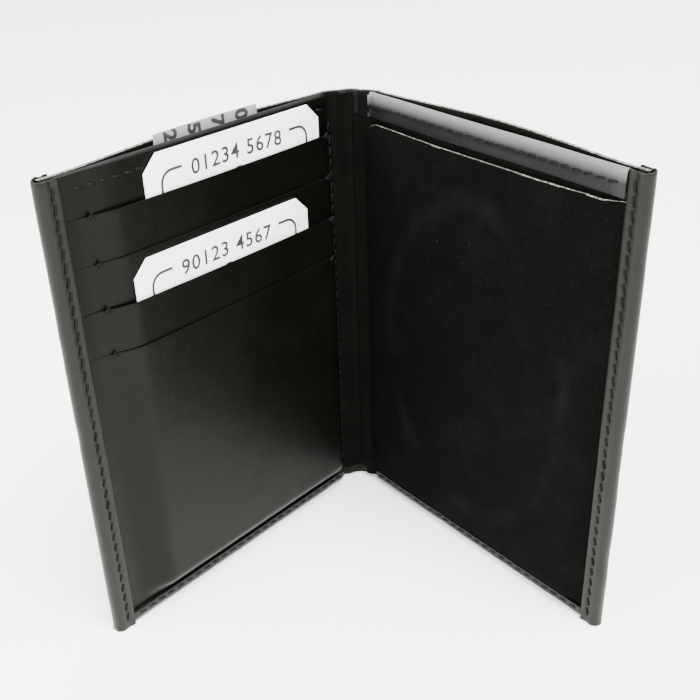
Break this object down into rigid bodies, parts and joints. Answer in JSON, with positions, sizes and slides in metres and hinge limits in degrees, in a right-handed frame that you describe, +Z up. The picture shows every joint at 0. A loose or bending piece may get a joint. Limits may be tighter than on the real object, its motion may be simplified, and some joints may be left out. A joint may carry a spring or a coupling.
{
  "type": "trifold wallet",
  "caption": "Upright leather trifold wallet: a card-pocket leaf and a bill-pocket leaf on a spine, a suede-backed badge flap, cards and a folded bill.",
  "frame": {"origin": "middle of the footprint of the open wallet, on the surface it stands on", "axes": "+Z up, +Y towards the spine at the back, the leaves open towards -Y, +X towards the leaf with the flap"},
  "size_m": [0.1214, 0.0684, 0.1172],
  "materials": {
    "black_grain_leather": "glossy smooth grain, soft sheen",
    "black_binding_leather": "glossy, folded edge with stitch dimples",
    "grey_lining": "matt grey bonded lining",
    "black_suede": "matt flesh side, raw cut edge",
    "black_thread": "waxed sewing thread",
    "white_card": "white satin card stock with black print",
    "bill_paper": "soft uncoated paper with black print"
  },
  "bodies": {
    "spine": {"spine_cover": "black_grain_leather", "spine_lining": "grey_lining"},
    "left_leaf": {"left_cover": "black_grain_leather", "left_bill_liner": "grey_lining", "left_edge_binding": "black_binding_leather", "left_bottom_binding": "black_binding_leather", "left_edge_stitching": "black_thread", "left_bottom_stitching": "black_thread", "card_backing": "black_grain_leather", "card_pocket_1": "black_grain_leather", "card_pocket_2": "black_grain_leather", "card_pocket_3": "black_grain_leather", "card_pocket_4": "black_grain_leather", "bartack_inner_1": "black_thread", "bartack_inner_2": "black_thread", "bartack_inner_3": "black_thread", "bartack_inner_4": "black_thread", "bartack_outer_1": "black_thread", "bartack_outer_2": "black_thread", "bartack_outer_3": "black_thread", "bartack_outer_4": "black_thread"},
    "right_leaf": {"right_cover": "black_grain_leather", "right_bill_liner": "grey_lining", "right_edge_binding": "black_binding_leather", "right_bottom_binding": "black_binding_leather", "right_edge_stitching": "black_thread", "right_bottom_stitching": "black_thread", "right_hem_stitching": "black_thread", "right_inner_pocket": "black_grain_leather"},
    "flap": {"flap_suede": "black_suede", "flap_face": "black_grain_leather"},
    "card_1": {"card_1": "white_card"},
    "card_2": {"card_2": "white_card"},
    "bill": {"play_bill": "bill_paper"}
  },
  "joints": [
    {"name": "left_leaf_fold", "type": "hinge", "parent": "spine", "child": "left_leaf", "pos_m": [-0.006, 0.03139, 0], "axis": [0, 0, 1], "range_deg": [-50, 34]},
    {"name": "right_leaf_fold", "type": "hinge", "parent": "spine", "child": "right_leaf", "pos_m": [0.006, 0.03139, 0], "axis": [0, 0, -1], "range_deg": [-50, 34]},
    {"name": "flap_fold", "type": "hinge", "parent": "right_leaf", "child": "flap", "pos_m": [0.05353, -0.03186, 0], "axis": [0, 0, 1], "range_deg": [0, 180]},
    {"name": "card_1_slide", "type": "slide", "parent": "left_leaf", "child": "card_1", "axis": [0, 0, 1], "range_m": [0, 0.08]},
    {"name": "card_2_slide", "type": "slide", "parent": "left_leaf", "child": "card_2", "axis": [0, 0, 1], "range_m": [0, 0.08]},
    {"name": "bill_slide", "type": "slide", "parent": "left_leaf", "child": "bill", "axis": [0, 0, 1], "range_m": [0, 0.07]}
  ]
}
